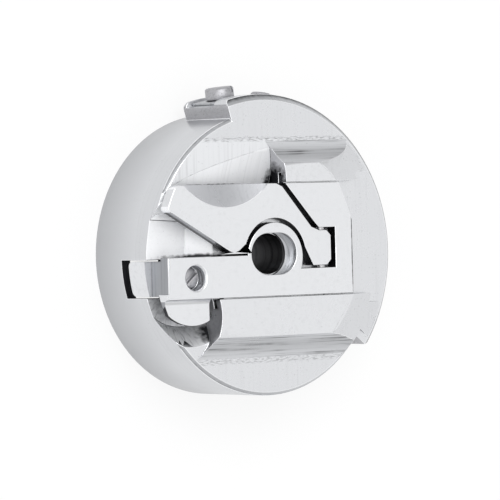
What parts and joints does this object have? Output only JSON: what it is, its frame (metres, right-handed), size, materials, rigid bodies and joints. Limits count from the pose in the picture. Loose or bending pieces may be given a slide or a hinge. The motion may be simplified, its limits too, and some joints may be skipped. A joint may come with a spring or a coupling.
{
  "type": "sewing machine bobbin case",
  "caption": "Round steel cup with a stud tube, a sliding latch plate locked by a flip-up lever, and a curved thread tension leaf on its side.",
  "frame": {"origin": "centre of the stud bore in the plane of the drum's front face", "axes": "+Z out of the front face along the stud bore, +X along the latch slide towards its hinge, +Y across the slide towards the tension screws"},
  "size_m": [0.0283, 0.0292, 0.0104],
  "materials": {
    "case_steel": "turned and polished",
    "slide_steel": "ground and polished",
    "lever_steel": "polished",
    "pin_steel": "ground",
    "spring_steel": "drawn wire",
    "leaf_steel": "rolled strip",
    "screw_steel": "turned"
  },
  "bodies": {
    "case": {"case_shell": "case_steel", "stop_screw": "screw_steel", "tension_spring": "leaf_steel", "tension_fixing_screw": "screw_steel", "latch_spring": "spring_steel"},
    "slide": {"slide_plate": "slide_steel", "hinge_pin": "pin_steel"},
    "lever": {"latch_lever": "lever_steel"},
    "adjusting_screw": {"tension_adjusting_screw": "screw_steel"}
  },
  "joints": [
    {"name": "slide_travel", "type": "slide", "parent": "case", "child": "slide", "axis": [1, 0, 0], "range_m": [0, 0.0008], "stiffness_N_per_m": 500, "springref_m": -0.0015, "deforming": ["latch_spring"]},
    {"name": "lever_hinge", "type": "hinge", "parent": "slide", "child": "lever", "pos_m": [0.0059, 0, 0.00052], "axis": [0, 1, 0], "range_deg": [0, 60]},
    {"name": "tension_adjustment", "type": "hinge", "parent": "case", "child": "adjusting_screw", "pos_m": [-0.00171, 0.0139, -0.0044], "axis": [-0.1219, 0.9925, 0], "range_deg": [-180, 180]}
  ],
  "couplings": [
    {"joint": "lever_hinge", "follows": "slide_travel", "rad_per_m": 1308.9}
  ]
}
